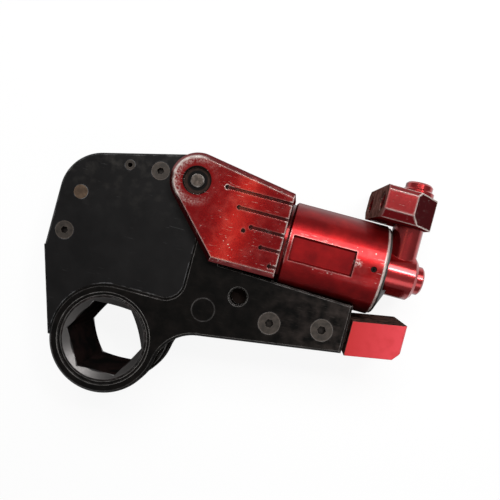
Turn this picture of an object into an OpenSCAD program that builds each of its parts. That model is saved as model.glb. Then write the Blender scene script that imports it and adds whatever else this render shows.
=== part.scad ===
// Low-profile hydraulic torque wrench: a ratchet link with a through hexagon,
// a double-acting power head pinned on it, a two-axis hose swivel and a reaction pad.
// The origin is on the hexagon's axis, halfway across the link.
// +X runs along the cylinder towards its rear, +Y towards the swivel, +Z along the hexagon.

/* [Hex drive] */
// Hexagon across flats
hex_af = 41; // [36:0.5:42]
// Radius of the journals that turn in the side plates
journal_r = 26; // [25.5:0.1:26.6]
// Radius over the ratchet teeth
tooth_tip_r = 31.2; // [30.6:0.1:31.4]
// Depth of a ratchet tooth
tooth_h = 2.6; // [2:0.1:3]
// Number of ratchet teeth
tooth_count = 24; // [24:12:36]

/* [Link] */
// Width over the side plates
link_w = 42; // [41:0.5:44]
// Thickness of a side plate
plate_t = 8; // [7:0.25:8.5]
// Radius of the nose round the hexagon
boss_r = 33.2; // [32.6:0.1:34.4]
// Edge bevel on the side plates
plate_bevel = 1.6; // [0.5:0.1:2]
// Left edge of the side plates above the nose
lug_x = 38.3; // [37:0.5:40]
// Fillet between the nose and that edge
lug_fillet = 11; // [8:0.5:14]
// Top edge of the reaction arm, at its end
arm_top = 57.6; // [56.8:0.2:58.2]
// Fall of the arm's top edge towards its end
arm_fall = 2.3; // [1.5:0.1:2.6]
// End of the reaction arm
arm_end = 141; // [138:1:145]
// Height of the arm's lower corner at its end
arm_low = 28.2; // [26:0.2:30]
// Slope of the arm's lower edge
arm_slope = 8; // [6:0.5:9]
// Fillet between the nose and the arm's lower edge
arm_fillet = 25; // [20:1:30]

/* [Shroud] */
// How far the shroud lies below the side plates
shroud_step = 1.5; // [1:0.1:3]
// Left edge of the shroud
shroud_left = -49.8; // [-54:0.2:-48]
// Height at which the left edge turns in towards the nose
shroud_knee = 46; // [38:1:50]
// Height of the centre of the shroud's top corner
shroud_corner_y = 83.3; // [82:0.1:85]
// Radius of the shroud's top corner
shroud_corner_r = 26; // [23:0.5:27]
// Rise of the shroud's top edge
shroud_rise = 13.8; // [12:0.2:15]
// Wall of the shroud's rim
rim_t = 5; // [4:0.5:6]

/* [Power head] */
// Height of the cylinder axis above the hexagon
axis_y = 82.5; // [82:0.25:84]
// Piston stroke
stroke = 34; // [30:1:36]
// Radius of the cylinder barrel
barrel_r = 29; // [28.4:0.1:29.4]
// Rear end of the barrel
barrel_end = 153; // [152:0.5:158]
// Radius of the piston bore
bore_r = 20.5; // [19:0.25:21]
// Radius of the piston rod
rod_r = 11; // [10:0.25:11.5]
// Half width over the clevis ears
ear_z = 29; // [28.5:0.25:31]
// Right-hand end of the ears, where the round barrel starts
ear_end = 90; // [88:0.5:92]
// Radius of the ears round the link pin
ear_r = 16.8; // [16:0.1:17.5]
// Bevel along the ears' edges
ear_bevel = 3; // [2:0.1:3.4]
// Link pin, distance along the cylinder axis
pin_x = 32; // [30:0.5:34]
// Link pin, height above the hexagon
pin_y = 106.4; // [105.5:0.2:108]
// Radius of the link pin
pin_r = 8; // [7:0.25:8.5]
// Lower edge of the ears
ear_low = 62; // [61:0.5:63]
// Top of the ears at their right-hand end
ear_high = 113.8; // [112.5:0.1:115]
// Where the ears' lower edge meets the slanted edge
heel_x = 50; // [48:0.5:52]
// Bottom of the clevis slot
clevis_x = 57; // [56.5:0.25:58]
// Width of the milled grooves
groove_w = 1.8; // [1.2:0.1:2.4]
// Depth of the milled grooves
groove_d = 1.6; // [1:0.1:2]

/* [Swivel] */
// Radius of the swivel hub
hub_r = 14.2; // [13.5:0.1:15]
// Length of the swivel hub
hub_len = 22; // [20.5:0.1:23]
// Radius of the stem that the hub turns on
stem_r = 7; // [6:0.25:7.5]
// Radius of the post
post_r = 9.8; // [9:0.1:10]
// Underside of the swivel block, above the hexagon
block_low = 114.2; // [114:0.1:115]
// Height of the swivel block
block_h = 19.8; // [19:0.2:22]
// Half width of the swivel block
block_z = 28; // [27:0.25:28.5]
// How far the block is turned on its post, in degrees
block_turn = 3.2; // [0:0.2:8]
// Distance from the post axis to the port face
port_reach = 24.7; // [22:0.1:26]
// Distance from the post axis to the rear face
rear_reach = 11; // [10.5:0.5:13]
// Bevel under the block's front and back faces
block_bevel = 5; // [3:0.25:6]
// Bevel above them
block_top_bevel = 3; // [2:0.25:5]
// Tapping radius of the hydraulic ports
port_r = 5.6; // [4.5:0.1:6.5]
// Distance of a port from the middle of the block
port_z = 17; // [14:0.25:19]

/* [Reaction pad] */
// Gap between the arm's end and the head
pad_gap = 2; // [1:0.25:3]
// Length of the red head
pad_len = 33; // [28:1:38]
// Height of the head
pad_h = 21.4; // [18:0.2:22]
// Half width of the head
pad_z = 20; // [18:0.5:22]

/* [Hidden] */
$fn = 96;

// Clearances
run_gap = 0.05;      // radial, between a shaft and its bore
face_gap = 0.3;      // between faces that move past each other
seat_gap = 0.1;      // round a screw or a cover
mesh_gap = 0.15;     // between a pawl and the ratchet teeth
mesh_lead = 0.3;     // in degrees, between a pawl and the teeth's steep faces
cut = 1;             // how far a cutter runs past the face it cuts

// Layers across the link, from the middle outwards
face_z = link_w / 2;
inner_z = face_z - plate_t;
shroud_z = face_z - shroud_step;
lever_z1 = inner_z - face_gap;
lever_t = 4.9;
lever_z0 = lever_z1 - lever_t;
tooth_z = lever_z0 - face_gap;

// Ratchet and lever
tooth_root_r = tooth_tip_r - tooth_h;
pitch = 360 / tooth_count;
tooth_land = 3;
lever_r = norm([stroke / 2, axis_y]);
half_swing = asin(stroke / 2 / lever_r);
lever_ring_r = tooth_tip_r + face_gap;
lever_tip_r = 10;
lever_pin_r = 6;
rivet_r = 2;
rivet_small_r = 1.5;

// Drive pawl and its housing, in the lever's own frame with +Y along the lever
pawl_cw = 6;
pawl_ccw = 12;
pawl_top = 45.5;
pawl_lift = 3;
housing_wall = 5;
housing_top = 60;
pocket_top = pawl_top + pawl_lift + 1;
spring_wire = 0.7;
spring_r = 2.1;
spring_end = housing_top - 3;
spring_x = [-8, 2];
spring_room = 0.2;

// Holding pawl
hold_x = 53.8;
hold_y = 32.4;
hold_pin_r = 7;
hold_eye_r = 11.5;
hold_angle = 90 - half_swing - 2 * pitch;
hold_z = tooth_z - face_gap;
hold_nose = 5;
nose_lead = 0.5;
torsion_wire = 0.8;

// Fasteners and holes in the link
handle_at = [72.2, 45.4];
handle_r = 5.1;
handle_lip_r = 5.9;
arm_screw_at = [[94.5, 34.8], [126.1, 38.9]];
arm_head_r = 6.6;
arm_shank_r = 3;
shroud_screw_at = [[-40.2, 57.3], [7, 106.8]];
shroud_head_r = 5.5;
shroud_shank_r = 2.5;
rivet_at = [-36.5, 82.2];
shroud_rivet_r = 4.2;
roll_pin_at = [-11.8, 105.6];
roll_pin_r = 3;
screw_boss_r = 8;
screw_root = inner_z / 2;
ring_r = journal_r + 2;
ring_sink = 0.8;

// Shroud outline
shroud_corner_x = shroud_left + shroud_corner_r;
shroud_top_x = pin_x - 2;
shroud_tip = -6;
shroud_wrap = 0.8;
shroud_bevel = 1.2;

// Arm's lower edge: its direction, its distance from the hexagon and the fillet's centre
arm_dir = [cos(arm_slope), sin(arm_slope)];
arm_out = [sin(arm_slope), -cos(arm_slope)];
arm_offset = arm_out * [arm_end, arm_low];
fillet_out = arm_offset + arm_fillet;
fillet_along = sqrt(pow(boss_r + arm_fillet, 2) - pow(fillet_out, 2));
fillet_at = arm_dir * fillet_along + arm_out * fillet_out;
fillet_end = arm_dir * fillet_along + arm_out * arm_offset;

// Link lug under the ears
link_pin_at = [pin_x, pin_y];
lug_r = ear_r - ear_bevel + seat_gap;
lug_right = clevis_x - 1.5;
arm_crest = arm_top + (arm_end - lug_right) * tan(arm_fall);

// Ears
slot_z = face_z + face_gap;
heel_at = [heel_x, ear_low];
crown_at = [ear_end, ear_high];
heel_tangent = tangent_at(link_pin_at, ear_r, heel_at, -1);
crown_tangent = tangent_at(link_pin_at, ear_r, crown_at, 1);
groove_y = [107.1, 97.3, 87.8, 77.8, 68.4];
groove_x = [50.4, 60, 69.8, 78.2, 85.9];
dimple_at = [65.8, 84.8];
dimple_r = 1.3;
groove_eye = 0.4;

// Barrel, from front to rear
wiper_len = 3;
wiper_r = 14;
gland_x = clevis_x + 9;
gland_r = 15.5;
rod_seal_len = 5;
rod_seal_r = 14.2;
bore_front = ear_end - 2;
cap_len = 10;
cap_front = barrel_end - cap_len;
cap_r = bore_r + 2;
cap_seal_x = barrel_end - 2.5;
cap_seal_wire = 1.1;
cap_groove_w = 3;
collar_r = barrel_r - 1;
collar_end_r = collar_r - 0.6;
collar_len = 1.1;
collar_flat = 0.5;
neck_len = 2;
neck_depth = 2;
neck_bevel = 1.2;
pocket_x = ear_end + 5.5;
pocket_len = 38.5;
pocket_w = 15.6;
pocket_slope = 1.2;
pocket_floor = barrel_r - 2.8;
pocket_rim = sqrt(pow(barrel_r, 2) - pow(pocket_w / 2, 2));
set_screw_x = cap_front + 2.8;
set_screw_r = 1.75;
set_screw_sink = 0.8;
set_socket = 1.6;
barrel_bevel = 1.5;

// Piston and rod
piston_len = 16;
piston_rear = cap_front - 1;
piston_front = piston_rear - piston_len;
piston_seal_x = piston_front + 5;
piston_seal_len = 4;
wear_ring_x = piston_front + 12;
wear_ring_len = 2.5;
ring_depth = 2.6;
wear_depth = 1.5;
tail_r = 7;
nut_af = 19;
nut_t = 6;
nut_pocket_r = 11.4;
nut_sink = 0.5;
piston_bevel = 0.6;
eye_h = 12;
eye_back = 15;
rod_face = stroke / 2 + eye_back;
eye_front = stroke / 2 - eye_h;
eye_z = tooth_z - face_gap;
stud_r = 5.5;
stud_len = 12;
pin_drop = lever_r - axis_y;

// Swivel
stem_front = barrel_end + collar_len;
hub_front = stem_front + face_gap;
hub_end = hub_front + hub_len;
hub_bevel = 2.2;
skirt_r = collar_end_r - 0.3;
skirt_len = 4.8;
skirt_wall = 2.5;
skirt_gap = 0.8;
nut_front = hub_end + face_gap;
hub_nut_r = 9.2;
hub_nut_t = 5;
hub_nut_bevel = 1.2;
hub_nut_socket = 3.4;
hub_nut_wall = 1;
stud_nut_r = stem_r - 1.5;
post_x = hub_front + hub_len / 2;
spigot_r = 7;
spigot_low = block_low - face_gap;
block_top = block_low + block_h;
cap_low = block_top + face_gap;
cap_stud_r = 5;
swivel_cap_r = 10.4;
swivel_cap_h = 9;
swivel_cap_step = 3.8;
swivel_crown_r = 8.8;
cap_stud_top = cap_low + swivel_cap_h - 2;
seal_wire = 0.7;
facet_start = 6.4;
facet_end_z = 10;
port_y = block_low + block_h / 2;
port_depth = 14;
port_lip = 0.8;
plug_r = 1.5;
plug_pitch = 3.8;
plug_z = -13;
plug_h = 2;
plug_proud = 0.5;

// Reaction pad
tongue_start = hold_x + hold_eye_r + 1.7;
tongue_top = axis_y - barrel_r - 1;
tongue_margin = 2;
pad_bevel = 4.2;
pad_start = arm_end + pad_gap;
pad_end = pad_start + pad_len;
pad_slope = 9.5;
pad_drop = 0.7;
pad_low = arm_low - pad_drop;
pad_slot = 0.4;
pad_edge = 1;

// Link pin
pin_mouth = 2;
spindle_r = 0.5 * pin_r;
spindle_end = ear_z - 0.8;
spindle_bevel = 0.6;

// Polar point
function polar(r, a) = [r * cos(a), r * sin(a)];

// Direction from a circle's centre to where a line from point p touches it
function tangent_angle(c, r, p, side) =
    atan2(p.y - c.y, p.x - c.x) + side * acos(r / norm(p - c));
function tangent_at(c, r, p, side) = c + polar(r, tangent_angle(c, r, p, side));

// Corners of the strip that touches a circle at a and a circle at b on both sides
function strap(a, ra, b, rb) =
    let (dir = atan2(b.y - a.y, b.x - a.x), open = acos((ra - rb) / norm(b - a)))
    [a + polar(ra, dir + open), b + polar(rb, dir + open),
     b + polar(rb, dir - open), a + polar(ra, dir - open)];

// Outline of the ratchet in the lever's frame: steep faces look clockwise
function ratchet_points(grow, lead) =
    [for (i = [0 : tooth_count - 1])
        let (a = 90 + i * pitch)
        each [polar(tooth_root_r + grow, a - lead),
              polar(tooth_tip_r + grow, a - lead),
              polar(tooth_tip_r + grow, a + tooth_land)]];

// Moves a shape on the hexagon's axis into the lever's frame at rest
module on_lever() {
    rotate([0, 0, -half_swing]) children();
}

// A prism between two levels
module slab(z0, z1) {
    translate([0, 0, z0]) linear_extrude(z1 - z0) children();
}

// The same shape on both sides of the middle plane
module both_sides() {
    children();
    mirror([0, 0, 1]) children();
}

// Solid of revolution about the cylinder axis, points are [radius, x]
module turned(points) {
    translate([0, axis_y, 0]) rotate([0, 90, 0]) rotate_extrude() polygon(points);
}

// Ring about the cylinder axis
module ring(x0, x1, r0, r1) {
    turned([[r0, x0], [r1, x0], [r1, x1], [r0, x1]]);
}

// Round bar about the cylinder axis, with a bevel at either end
module bar(x0, x1, r, b0 = 0, b1 = 0) {
    turned([[0, x0], [r - b0, x0], [r, x0 + b0], [r, x1 - b1], [r - b1, x1], [0, x1]]);
}

// Round seal about the cylinder axis
module seal_ring(x, r, wire) {
    translate([x, axis_y, 0]) rotate([0, 90, 0]) rotate_extrude()
        translate([r, 0]) circle(wire, $fn = 32);
}

// Moves a shape standing on z = 0 onto the swivel post, with its length along +Y
module on_post() {
    translate([post_x, 0, 0]) rotate([-90, 0, 0]) children();
}

// Cutter for a bevel of size c along an edge from p to q at level z, with the outside on the right
module edge_bevel(p, q, c, z, past = 0) {
    run = norm(q - p);
    translate([p.x, p.y, z])
        rotate([0, 0, atan2(q.y - p.y, q.x - p.x)])
            translate([-past, 0, 0])
                rotate([90, 0, 90])
                    linear_extrude(run + 2 * past)
                        polygon([[-cut, -c - cut], [c + cut, cut], [-cut, cut]]);
}

// Upright cylinder between two levels
module upright(at, r, z0, z1) {
    translate([at.x, at.y, z0]) cylinder(r = r, h = z1 - z0);
}

// Countersunk hole or screw body: head flush with level z, shank down to level z0
module countersunk(at, head_r, shank_r, z, z0, grow = 0) {
    translate([at.x, at.y, 0]) {
        translate([0, 0, z0]) cylinder(r = shank_r + grow, h = z - z0);
        translate([0, 0, z - head_r + shank_r])
            cylinder(r1 = shank_r + grow, r2 = head_r + grow, h = head_r - shank_r);
    }
}

// Countersunk screw with a hexagon socket
module socket_screw(at, head_r, shank_r, z, z0) {
    socket = head_r * 0.42;
    depth = socket * 1.3;
    difference() {
        countersunk(at, head_r, shank_r, z, z0);
        translate([at.x, at.y, z - depth]) cylinder(r = socket, h = depth + cut, $fn = 6);
    }
}

// Coil spring standing on z = 0
module coil(r, wire, turns, h) {
    sides = 8;
    per_turn = 14;
    rings = turns * per_turn;
    points = [for (i = [0 : rings], k = [0 : sides - 1])
        let (a = i * 360 / per_turn, b = k * 360 / sides, reach = r + wire * cos(b))
        [reach * cos(a), reach * sin(a), wire + (h - 2 * wire) * i / rings + wire * sin(b)]];
    walls = [for (i = [0 : rings - 1], k = [0 : sides - 1])
        let (n = (k + 1) % sides)
        [i * sides + k, (i + 1) * sides + k, (i + 1) * sides + n, i * sides + n]];
    start = [[for (k = [0 : sides - 1]) k]];
    end = [[for (k = [sides - 1 : -1 : 0]) rings * sides + k]];
    polyhedron(points, concat(walls, start, end), convexity = 8);
}

// Flat outline of the link plates without the nose: arm, lug and the corner beside the nose
module link_outline() {
    polygon([[0, 0], fillet_at * boss_r / (boss_r + arm_fillet), fillet_at, fillet_end,
        [arm_end, arm_low], [arm_end, arm_top], [lug_right, arm_crest], [lug_right, axis_y],
        [pin_x + lug_r, pin_y], [lug_x, pin_y], [lug_x, boss_r + lug_fillet],
        [lug_x - lug_fillet, boss_r], [0, boss_r]]);
    translate([lug_x - lug_fillet, boss_r]) square(lug_fillet);
    translate(link_pin_at) circle(lug_r);
}

// Side plate on the +Z side
module side_plate() {
    corner = [lug_x - lug_fillet, boss_r + lug_fillet];
    low_bevel = 0.9 * plate_bevel;
    difference() {
        union() {
            slab(inner_z, face_z) link_outline();
            translate([0, 0, inner_z]) cylinder(r = boss_r, h = plate_t - plate_bevel);
            translate([0, 0, face_z - plate_bevel])
                cylinder(r1 = boss_r, r2 = boss_r - plate_bevel, h = plate_bevel);
        }
        upright(corner, lug_fillet, inner_z - cut, face_z + cut);
        translate([corner.x, corner.y, face_z - plate_bevel])
            cylinder(r1 = lug_fillet, r2 = lug_fillet + 2 * plate_bevel, h = 2 * plate_bevel);
        upright(fillet_at, arm_fillet, inner_z - cut, face_z + cut);
        translate([fillet_at.x, fillet_at.y, face_z - plate_bevel])
            cylinder(r1 = arm_fillet, r2 = arm_fillet + 2 * plate_bevel, h = 2 * plate_bevel);
        edge_bevel([corner.x, boss_r], [0, boss_r], plate_bevel, face_z);
        edge_bevel([lug_x, axis_y], [lug_x, corner.y], plate_bevel, face_z);
        edge_bevel(fillet_end, [arm_end, arm_low], low_bevel, face_z, cut);
        edge_bevel([arm_end, arm_low], [arm_end, arm_top], plate_bevel, face_z);
        edge_bevel([arm_end, arm_top], [lug_right, arm_crest], plate_bevel / 2, face_z);
        bar(ear_end, arm_end + cut, barrel_r + face_gap);
        upright([0, 0], ring_r, face_z - ring_sink, face_z + cut);
        upright([0, 0], journal_r + run_gap, inner_z - cut, face_z + cut);
        upright(link_pin_at, pin_r + run_gap, inner_z - cut, face_z + cut);
        upright([hold_x, hold_y], hold_pin_r + run_gap, inner_z - cut, face_z + cut);
        upright(handle_at, handle_r, inner_z - cut, face_z + cut);
        translate([handle_at.x, handle_at.y, face_z - handle_lip_r + handle_r])
            cylinder(r1 = handle_r, r2 = handle_lip_r + cut, h = handle_lip_r - handle_r + cut);
        for (at = arm_screw_at)
            countersunk(at, arm_head_r, arm_shank_r, face_z, inner_z - cut, seat_gap);
    }
}

module side_plate_front() {
    color("#2a2b2a") side_plate();
}

module side_plate_back() {
    color("#2a2b2a") mirror([0, 0, 1]) side_plate();
}

// Outline of the shroud, drawn in by a wall's thickness
module shroud_outline(inset) {
    r = shroud_corner_r - inset;
    centre = [shroud_corner_x, shroud_corner_y];
    up = 90 + shroud_rise;
    rise = tan(shroud_rise);
    crest = centre + polar(r, up);
    nose_r = boss_r + shroud_wrap - inset;
    touch = tangent_at([0, 0], nose_r, [shroud_left + inset, shroud_knee], 1);
    translate(centre) circle(r);
    polygon([touch, [lug_x, 0], [lug_x, pin_y],
        [shroud_top_x, crest.y + (shroud_top_x - crest.x) * rise], crest, centre,
        [shroud_left + inset, shroud_corner_y], [shroud_left + inset, shroud_knee]]);
}

// What the side plates take out of the shroud, with a gap round them
module shroud_relief(z0, z1) {
    corner = [lug_x - lug_fillet, boss_r + lug_fillet];
    upright([0, 0], boss_r + seat_gap, z0, z1);
    upright(link_pin_at, lug_r + seat_gap, z0, z1);
    slab(z0, z1) polygon([[shroud_left, -boss_r], [shroud_left, shroud_tip], [0, shroud_tip],
        [0, boss_r + seat_gap],
        [corner.x, boss_r + seat_gap], [lug_x + cut, boss_r + seat_gap], [lug_x + cut, -boss_r]]);
    slab(z0, z1) translate([lug_x - seat_gap, 0]) square([lug_fillet, pin_y]);
    difference() {
        slab(z0, z1) translate([corner.x, boss_r]) square(lug_fillet);
        upright(corner, lug_fillet - seat_gap, z0 - cut, z1 + cut);
    }
}

// Cutter for the bevel along the shroud's left edge, top corner and top edge
module shroud_edge() {
    centre = [shroud_corner_x, shroud_corner_y];
    up = 90 + shroud_rise;
    crest = centre + polar(shroud_corner_r, up);
    far = 2 * shroud_corner_r;
    outer_r = shroud_corner_r + cut;
    top_end = crest + polar(shroud_top_x - crest.x, shroud_rise);
    edge_bevel(top_end, crest, shroud_bevel, shroud_z);
    edge_bevel([shroud_left, shroud_corner_y], [shroud_left, shroud_knee], shroud_bevel, shroud_z);
    intersection() {
        translate([centre.x, centre.y, shroud_z]) rotate_extrude()
            polygon([[shroud_corner_r - shroud_bevel - cut, cut], [outer_r, -shroud_bevel - cut],
                [outer_r, cut]]);
        slab(inner_z, face_z)
            polygon([centre, centre + polar(far, up), centre + polar(far, 135), centre + polar(far, 180)]);
    }
}

// Shroud plate on the +Z side
module shroud_plate() {
    difference() {
        slab(inner_z, shroud_z) shroud_outline(0);
        shroud_relief(inner_z - cut, shroud_z + cut);
        shroud_edge();
        for (at = shroud_screw_at)
            countersunk(at, shroud_head_r, shroud_shank_r, shroud_z, inner_z - cut, seat_gap);
        upright(rivet_at, shroud_rivet_r + run_gap, inner_z - cut, shroud_z + cut);
        upright(roll_pin_at, roll_pin_r + run_gap, inner_z - cut, shroud_z + cut);
    }
}

module shroud_front() {
    color("#262826") shroud_plate();
}

module shroud_back() {
    color("#262826") mirror([0, 0, 1]) shroud_plate();
}

// Wall that closes the shroud along its left and top edges
module shroud_rim() {
    color("#222422") difference() {
        union() {
            difference() {
                slab(-inner_z, inner_z) shroud_outline(0);
                slab(-inner_z - cut, inner_z + cut) shroud_outline(rim_t);
            }
            intersection() {
                slab(-inner_z, inner_z) shroud_outline(0);
                for (at = concat(shroud_screw_at, [roll_pin_at]))
                    upright(at, screw_boss_r, -inner_z, inner_z);
            }
        }
        shroud_relief(-inner_z - cut, inner_z + cut);
        upright([0, 0], boss_r + face_gap, -inner_z - cut, inner_z + cut);
        for (at = shroud_screw_at)
            upright(at, shroud_shank_r + seat_gap, -inner_z - cut, inner_z + cut);
        upright(roll_pin_at, roll_pin_r + run_gap, -inner_z - cut, inner_z + cut);
    }
}

module shroud_screws() {
    color("#4a4640") both_sides()
        for (at = shroud_screw_at)
            socket_screw(at, shroud_head_r, shroud_shank_r, shroud_z, screw_root);
}

// Rivet through the shroud, which also keeps its two plates apart
module shroud_rivet() {
    shoulder = shroud_rivet_r + 1.5;
    color("#5a4c40") {
        upright(rivet_at, shroud_rivet_r, -shroud_z, shroud_z);
        upright(rivet_at, shoulder, -inner_z, inner_z);
    }
}

module shroud_roll_pins() {
    color("#3a3834") both_sides() difference() {
        upright(roll_pin_at, roll_pin_r, screw_root, shroud_z);
        upright(roll_pin_at, roll_pin_r / 2, screw_root - cut, shroud_z + cut);
    }
}

// Reaction pad: a tongue screwed between the plates and a head that bears on a neighbour
module reaction_pad() {
    low = arm_offset - tongue_margin;
    tongue_low0 = (low - arm_out.x * tongue_start) / arm_out.y;
    tongue_low1 = (low - arm_out.x * pad_start) / arm_out.y;
    pad_rise = tan(pad_slope) * pad_len;
    color("#c01828") difference() {
        union() {
            slab(-inner_z, inner_z)
                polygon([[tongue_start, tongue_low0], [pad_start, tongue_low1],
                    [pad_start, pad_low + pad_h - pad_slot], [arm_end, tongue_top],
                    [tongue_start, tongue_top]]);
            difference() {
                slab(-pad_z, pad_z)
                    polygon([[pad_start, pad_low],
                        [pad_end - pad_bevel, pad_low + pad_rise * (1 - pad_bevel / pad_len)],
                        [pad_end, pad_low + pad_rise + pad_bevel],
                        [pad_end, pad_low + pad_h + pad_rise], [pad_start, pad_low + pad_h]]);
                both_sides()
                    edge_bevel([pad_end, pad_low], [pad_end, pad_low + pad_h + pad_rise],
                        pad_edge, pad_z, cut);
            }
        }
        both_sides() for (at = arm_screw_at)
            upright(at, arm_shank_r + seat_gap, screw_root - cut, inner_z + cut);
    }
}

module arm_screws() {
    color("#4a4640") both_sides()
        for (at = arm_screw_at) socket_screw(at, arm_head_r, arm_shank_r, face_z, screw_root);
}

module holding_pawl_pin() {
    color("#3c3c3a") upright([hold_x, hold_y], hold_pin_r, -face_z, face_z);
}

// Pawl that keeps the ratchet from running back while the piston returns
module holding_pawl() {
    steep = hold_angle - nose_lead;
    back = hold_angle - pitch;
    eye = [hold_x, hold_y];
    color("#8c8a84") difference() {
        union() {
            slab(-hold_z, hold_z)
                polygon([polar(tooth_root_r - cut, steep), polar(tooth_tip_r + hold_nose, steep),
                    eye + polar(hold_eye_r, 105), eye, eye + polar(hold_eye_r, 255),
                    polar(tooth_tip_r + mesh_gap, back),
                    polar(tooth_root_r, hold_angle - pitch * 0.7)]);
            upright(eye, hold_eye_r, -hold_z, hold_z);
        }
        upright(eye, hold_pin_r + run_gap, -hold_z - cut, hold_z + cut);
        on_lever() slab(-hold_z - cut, hold_z + cut) polygon(ratchet_points(mesh_gap, mesh_lead));
    }
}

// Torsion spring beside the holding pawl, round its pin
module holding_pawl_spring() {
    color("#77777a") translate([hold_x, hold_y, hold_z + face_gap])
        coil(hold_pin_r + torsion_wire + face_gap, torsion_wire, 3, inner_z - hold_z - 2 * face_gap);
}

// Ratchet wheel with the through hexagon and a journal at either end
module hex_ratchet() {
    corner_r = hex_af / 2 / cos(30);
    lead_r = corner_r + 1;
    lead_h = (lead_r - hex_af / 2) * 0.8;
    lead_past = (lead_r - hex_af / 2) * cut / lead_h;
    journal_bevel = 0.6;
    color("#33322f") difference() {
        union() {
            on_lever() slab(-tooth_z, tooth_z) polygon(ratchet_points(0, 0));
            both_sides() rotate_extrude()
                polygon([[0, 0], [journal_r, 0], [journal_r, face_z - journal_bevel],
                    [journal_r - journal_bevel, face_z], [0, face_z]]);
        }
        translate([0, 0, -face_z - cut]) cylinder(r = corner_r, h = link_w + 2 * cut, $fn = 6);
        both_sides() translate([0, 0, face_z - lead_h])
            cylinder(r1 = hex_af / 2, r2 = lead_r + lead_past, h = lead_h + cut);
    }
}

// Lever plate on the +Z side
module lever_plate() {
    on_lever() difference() {
        union() {
            slab(lever_z0, lever_z1) polygon(strap([0, 0], lever_ring_r, [0, lever_r], lever_tip_r));
            upright([0, 0], lever_ring_r, lever_z0, lever_z1);
            upright([0, lever_r], lever_tip_r, lever_z0, lever_z1);
        }
        upright([0, 0], journal_r + run_gap, lever_z0 - cut, lever_z1 + cut);
        upright([0, lever_r], lever_pin_r + run_gap, lever_z0 - cut, lever_z1 + cut);
        lever_rivet_shapes(run_gap);
    }
}

// Rivets that hold the pawl housing between the lever plates
module lever_rivet_shapes(grow) {
    left = -pawl_ccw - housing_wall / 2 - run_gap;
    right = pawl_cw + housing_wall / 2 + run_gap;
    for (x = [left, right]) {
        upright([x, housing_top - 5], rivet_r + grow, -lever_z1, lever_z1);
        upright([x, lever_ring_r + 8], rivet_small_r + grow, -lever_z1, lever_z1);
    }
}

module lever_plate_front() {
    color("#5c5b58") lever_plate();
}

module lever_plate_back() {
    color("#5c5b58") mirror([0, 0, 1]) lever_plate();
}

module lever_rivets() {
    color("#8a8884") on_lever() lever_rivet_shapes(0);
}

module lever_pin() {
    color("#9a9892") on_lever() upright([0, lever_r], lever_pin_r, -lever_z1, lever_z1);
}

// Block between the lever plates, with the pocket that the drive pawl slides in
module pawl_housing() {
    left = -pawl_ccw - housing_wall;
    width = pawl_cw + pawl_ccw + 2 * housing_wall;
    color("#6a6964") on_lever() difference() {
        translate([left, 0, -lever_z0]) cube([width, housing_top, 2 * lever_z0]);
        upright([0, 0], lever_ring_r + face_gap, -lever_z0 - cut, lever_z0 + cut);
        translate([-pawl_ccw - run_gap, 0, -lever_z0 - cut])
            cube([pawl_cw + pawl_ccw + 2 * run_gap, pocket_top, 2 * lever_z0 + 2 * cut]);
        for (x = spring_x)
            translate([x, 0, 0]) rotate([-90, 0, 0])
                cylinder(r = spring_r + spring_wire + spring_room, h = spring_end);
        lever_rivet_shapes(run_gap);
    }
}

// Toothed pawl that pushes the ratchet round on the working stroke
module drive_pawl() {
    color("#a09c92") on_lever() difference() {
        translate([-pawl_ccw, tooth_root_r - cut, -tooth_z])
            cube([pawl_cw + pawl_ccw, pawl_top - tooth_root_r + cut, 2 * tooth_z]);
        slab(-tooth_z - cut, tooth_z + cut) polygon(ratchet_points(mesh_gap, mesh_lead));
    }
}

module pawl_springs() {
    rest = 0.1;
    color("#77777a") on_lever() for (x = spring_x)
        translate([x, pawl_top + rest, 0]) rotate([-90, 0, 0])
            coil(spring_r, spring_wire, 5, spring_end - pawl_top - 2 * rest);
}

// Block of the ears, bevelled on both faces
module ear_block() {
    difference() {
        slab(-ear_z, ear_z) polygon([heel_at, [ear_end, ear_low], crown_at, crown_tangent,
            link_pin_at, heel_tangent]);
        both_sides() {
            edge_bevel(heel_tangent, heel_at, ear_bevel, ear_z, ear_bevel);
            edge_bevel(heel_at, [ear_end, ear_low], ear_bevel, ear_z, ear_bevel);
            edge_bevel(crown_at, crown_tangent, ear_bevel, ear_z, ear_bevel);
        }
    }
    translate([pin_x, pin_y, 0]) both_sides()
        rotate_extrude() polygon([[0, 0], [ear_r, 0], [ear_r, ear_z - ear_bevel],
            [ear_r - ear_bevel, ear_z], [0, ear_z]]);
}

// Grooves milled into the ears' faces, open at their right-hand end
module ear_grooves() {
    both_sides() {
        for (i = [0 : len(groove_y) - 1]) {
            translate([groove_x[i], groove_y[i] - groove_w / 2, ear_z - groove_d])
                cube([ear_end - groove_x[i] + cut, groove_w, groove_d + cut]);
            upright([groove_x[i], groove_y[i]], groove_w / 2 + groove_eye, ear_z - groove_d, ear_z + cut);
        }
        upright(dimple_at, dimple_r, ear_z - groove_d, ear_z + cut);
    }
}

// Shallow pocket milled along the barrel, with sloping sides
module barrel_pocket() {
    half = pocket_w / 2;
    top = barrel_r + cut;
    spread = pocket_slope * (top - pocket_rim) / (pocket_rim - pocket_floor);
    translate([pocket_x, axis_y, 0]) rotate([90, 0, 90]) linear_extrude(pocket_len)
        polygon([[pocket_slope - half, pocket_floor], [half - pocket_slope, pocket_floor],
            [half + spread, top], [-half - spread, top]]);
}

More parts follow.
